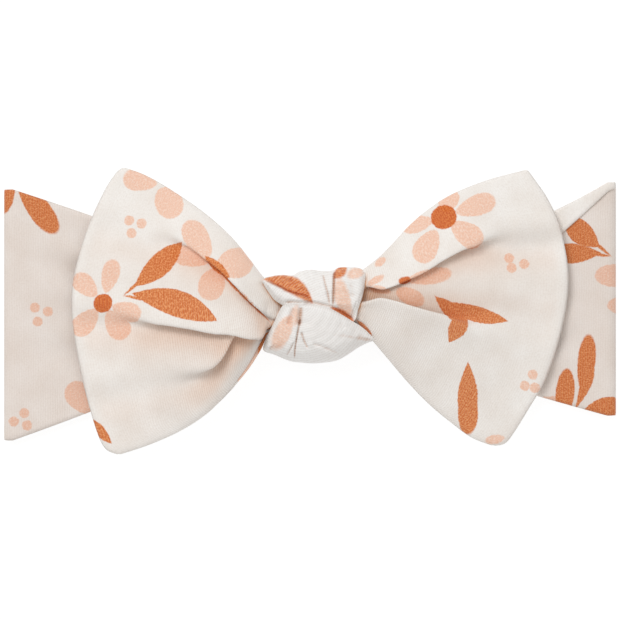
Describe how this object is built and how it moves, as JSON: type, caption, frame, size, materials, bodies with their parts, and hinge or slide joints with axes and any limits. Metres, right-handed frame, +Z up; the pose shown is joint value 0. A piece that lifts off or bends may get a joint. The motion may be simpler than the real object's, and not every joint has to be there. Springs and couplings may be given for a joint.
{
  "type": "knotted headband",
  "caption": "Baby's stretch-knit headband, lying flat, with its ends tied in a half knot and spread as a bow's ears.",
  "frame": {"origin": "on the table under the middle of the flattened ring, at the bottom centre of the whole object", "axes": "+X along the flattened ring towards the wearer's left fold, +Y across the band, +Z up from the table through the bow"},
  "size_m": [0.16, 0.0746, 0.0212],
  "materials": {
    "printed_knit": "soft jersey knit, cream with a peach and rust flower print",
    "lining_knit": "soft jersey knit, plain cream",
    "thread": "matt polyester sewing thread",
    "elastic": "white knitted elastic"
  },
  "bodies": {
    "back_centre": {"back_casing": "printed_knit", "back_elastic": "elastic", "casing_stitches": "thread"},
    "back_left": {"band_back_left_outer": "printed_knit", "band_back_left_lining": "lining_knit"},
    "front_left": {"band_front_left_outer": "printed_knit", "band_front_left_lining": "lining_knit"},
    "back_right": {"band_back_right_outer": "printed_knit", "band_back_right_lining": "lining_knit"},
    "front_right": {"band_front_right_outer": "printed_knit", "band_front_right_lining": "lining_knit", "band_front_right_turned_edge": "printed_knit"},
    "knot": {"left_band_gather": "printed_knit", "right_band_gather": "printed_knit", "knot_tack_stitches": "thread", "knot_upper_wrap": "printed_knit", "knot_lower_wrap": "printed_knit", "left_ear_neck": "printed_knit", "right_ear_neck": "printed_knit"},
    "left_ear": {"left_ear_front": "printed_knit", "left_ear_back": "printed_knit", "left_ear_seam": "lining_knit", "left_ear_gather": "printed_knit"},
    "right_ear": {"right_ear_front": "printed_knit", "right_ear_back": "printed_knit", "right_ear_seam": "lining_knit", "right_ear_gather": "printed_knit"}
  },
  "joints": [
    {"name": "band_open", "type": "hinge", "parent": "back_centre", "child": "back_left", "pos_m": [-0.014, 0, 0.0007], "axis": [0, 1, 0], "range_deg": [0, 50]},
    {"name": "left_fold", "type": "hinge", "parent": "back_left", "child": "front_left", "pos_m": [-0.0777, 0, 0.0023], "axis": [0, -1, 0], "range_deg": [0, 100]},
    {"name": "left_knot_turn", "type": "hinge", "parent": "front_left", "child": "knot", "pos_m": [-0.014, 0, 0.0039], "axis": [0, 1, 0], "range_deg": [0, 50]},
    {"name": "right_back_turn", "type": "hinge", "parent": "back_centre", "child": "back_right", "pos_m": [0.014, 0, 0.0007], "axis": [0, -1, 0], "range_deg": [0, 50]},
    {"name": "right_fold", "type": "hinge", "parent": "back_right", "child": "front_right", "pos_m": [0.0777, 0, 0.0023], "axis": [0, 1, 0], "range_deg": [0, 100]},
    {"name": "left_ear_lift", "type": "hinge", "parent": "knot", "child": "left_ear", "pos_m": [-0.0165, 0, 0.013], "axis": [0, 1, 0], "range_deg": [0, 75]},
    {"name": "right_ear_lift", "type": "hinge", "parent": "knot", "child": "right_ear", "pos_m": [0.0213, 0, 0.013], "axis": [0, -1, 0], "range_deg": [0, 75]}
  ],
  "couplings": [
    {"joint": "left_fold", "follows": "band_open", "ratio": 2},
    {"joint": "left_knot_turn", "follows": "band_open", "ratio": 1},
    {"joint": "right_back_turn", "follows": "band_open", "ratio": 1},
    {"joint": "right_fold", "follows": "band_open", "ratio": 2}
  ]
}
